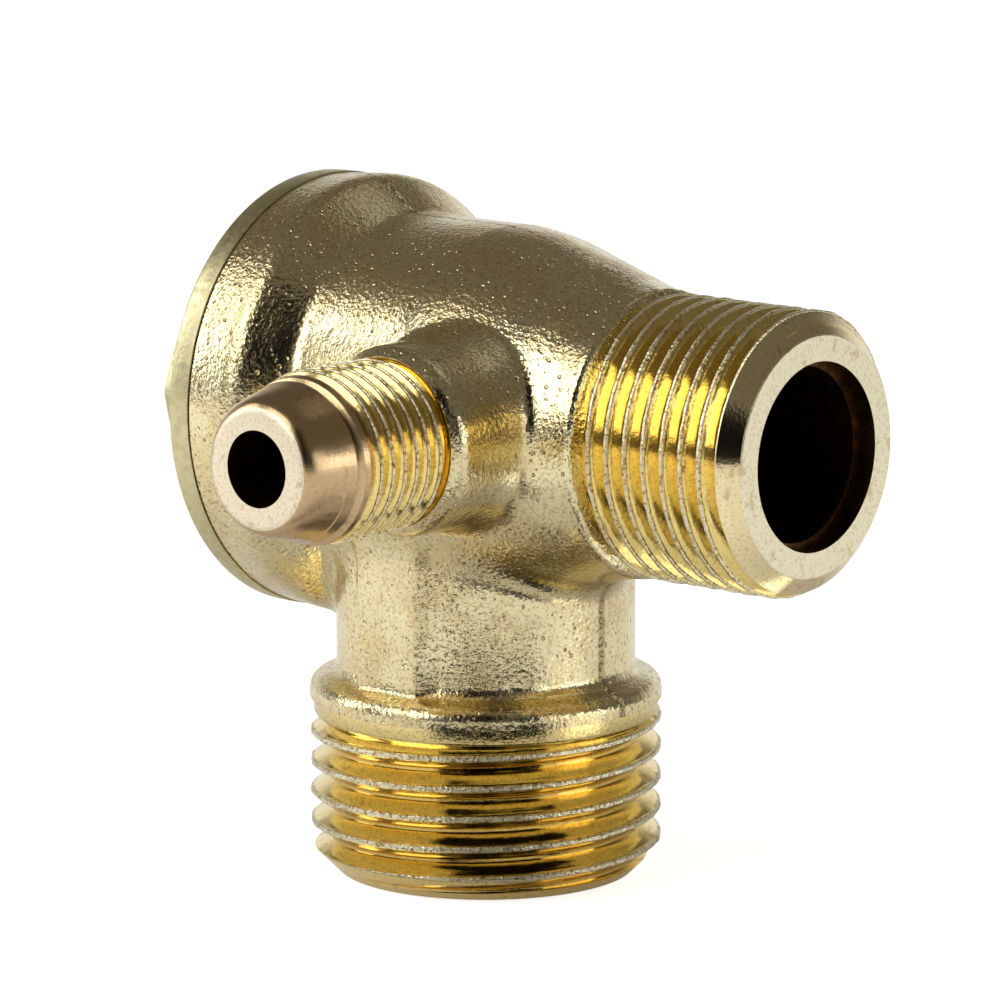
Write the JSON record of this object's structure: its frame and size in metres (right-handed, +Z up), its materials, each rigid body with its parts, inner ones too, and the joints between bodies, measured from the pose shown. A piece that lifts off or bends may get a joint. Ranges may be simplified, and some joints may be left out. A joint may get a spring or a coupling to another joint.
{
  "type": "non-return valve",
  "caption": "Brass non-return valve with male threaded ports for tank, pump and unloader; a sprung poppet under a screwed cap lets air pass one way only.",
  "frame": {"origin": "centre of the tank port's foot, on its end face", "axes": "+Z up along the tank port's axis, +X out of the pump inlet along its axis, -Y out of the unloader port"},
  "size_m": [0.0417, 0.0387, 0.041],
  "materials": {
    "plated_brass": "forged skin under bright pale gold plating, threads and faces turned before plating",
    "plated_brass_cap": "turned and plated",
    "turned_brass": "turned, bare",
    "spring_steel": "drawn wire",
    "black_rubber": "moulded ring",
    "disc_rubber": "moulded disc"
  },
  "bodies": {
    "body": {"valve_body": "plated_brass", "end_cap": "plated_brass_cap", "cap_seal": "black_rubber", "return_spring": "spring_steel"},
    "poppet": {"poppet": "turned_brass", "seal_disc": "disc_rubber"}
  },
  "joints": [
    {"name": "poppet_slide", "type": "slide", "parent": "body", "child": "poppet", "axis": [-1, 0, 0], "range_m": [0, 0.0028], "stiffness_N_per_m": 400, "springref_m": -0.004, "deforming": ["return_spring"]}
  ]
}
